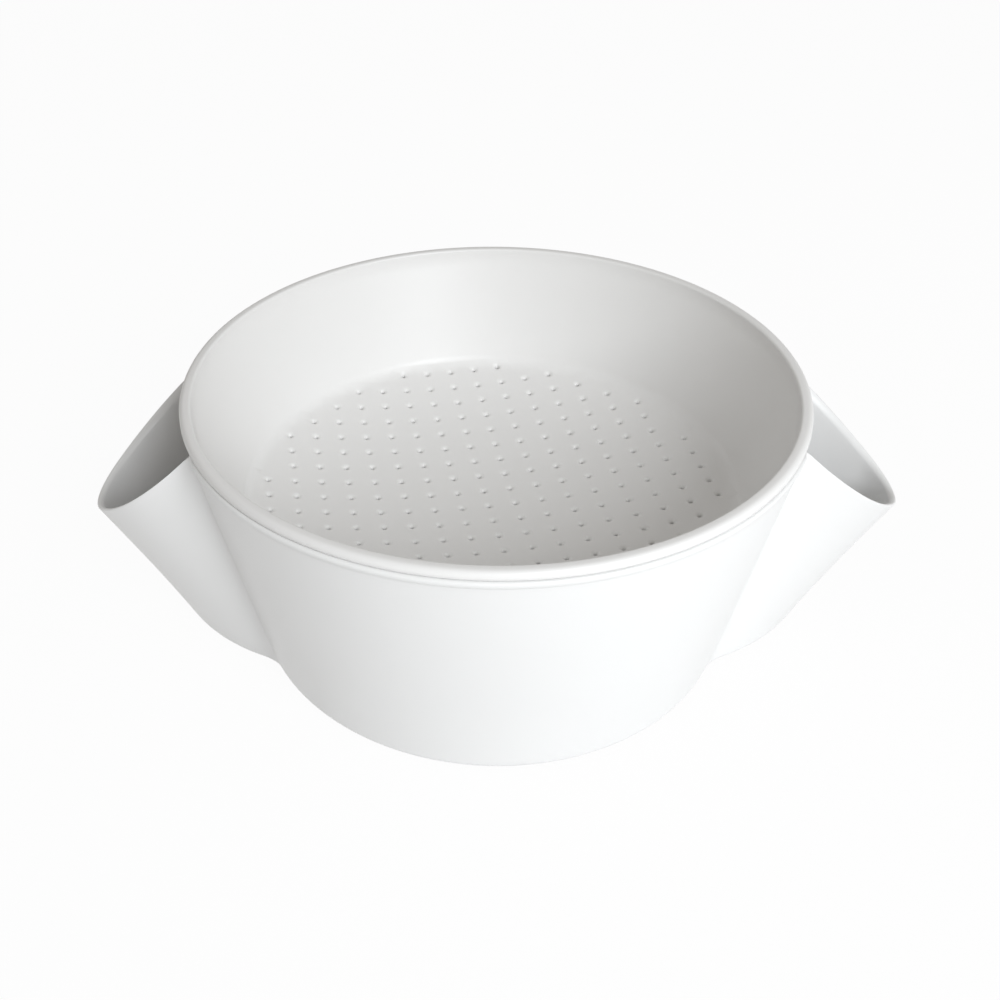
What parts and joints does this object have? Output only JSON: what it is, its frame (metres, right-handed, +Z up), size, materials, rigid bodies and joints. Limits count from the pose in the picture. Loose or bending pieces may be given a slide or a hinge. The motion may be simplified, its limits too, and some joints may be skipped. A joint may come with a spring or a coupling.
{
  "type": "colander with bowl",
  "caption": "Round white plastic colander with a dished, drilled floor, hung by its collar in a bowl with two pointed open pouring handles.",
  "frame": {"origin": "middle of the bowl's flat base, on the surface that it stands on", "axes": "+Z up along the axis of the round bowl, +X along the line through both handle tips"},
  "size_m": [0.323, 0.2414, 0.1124],
  "materials": {
    "colander_plastic": "satin moulded polypropylene",
    "bowl_plastic": "satin moulded polypropylene"
  },
  "bodies": {
    "bowl": {"bowl": "bowl_plastic"},
    "colander": {"colander": "colander_plastic"}
  },
  "joints": [
    {"name": "colander_lift", "type": "slide", "parent": "bowl", "child": "colander", "axis": [0, 0, 1], "range_m": [0, 0.1]}
  ]
}
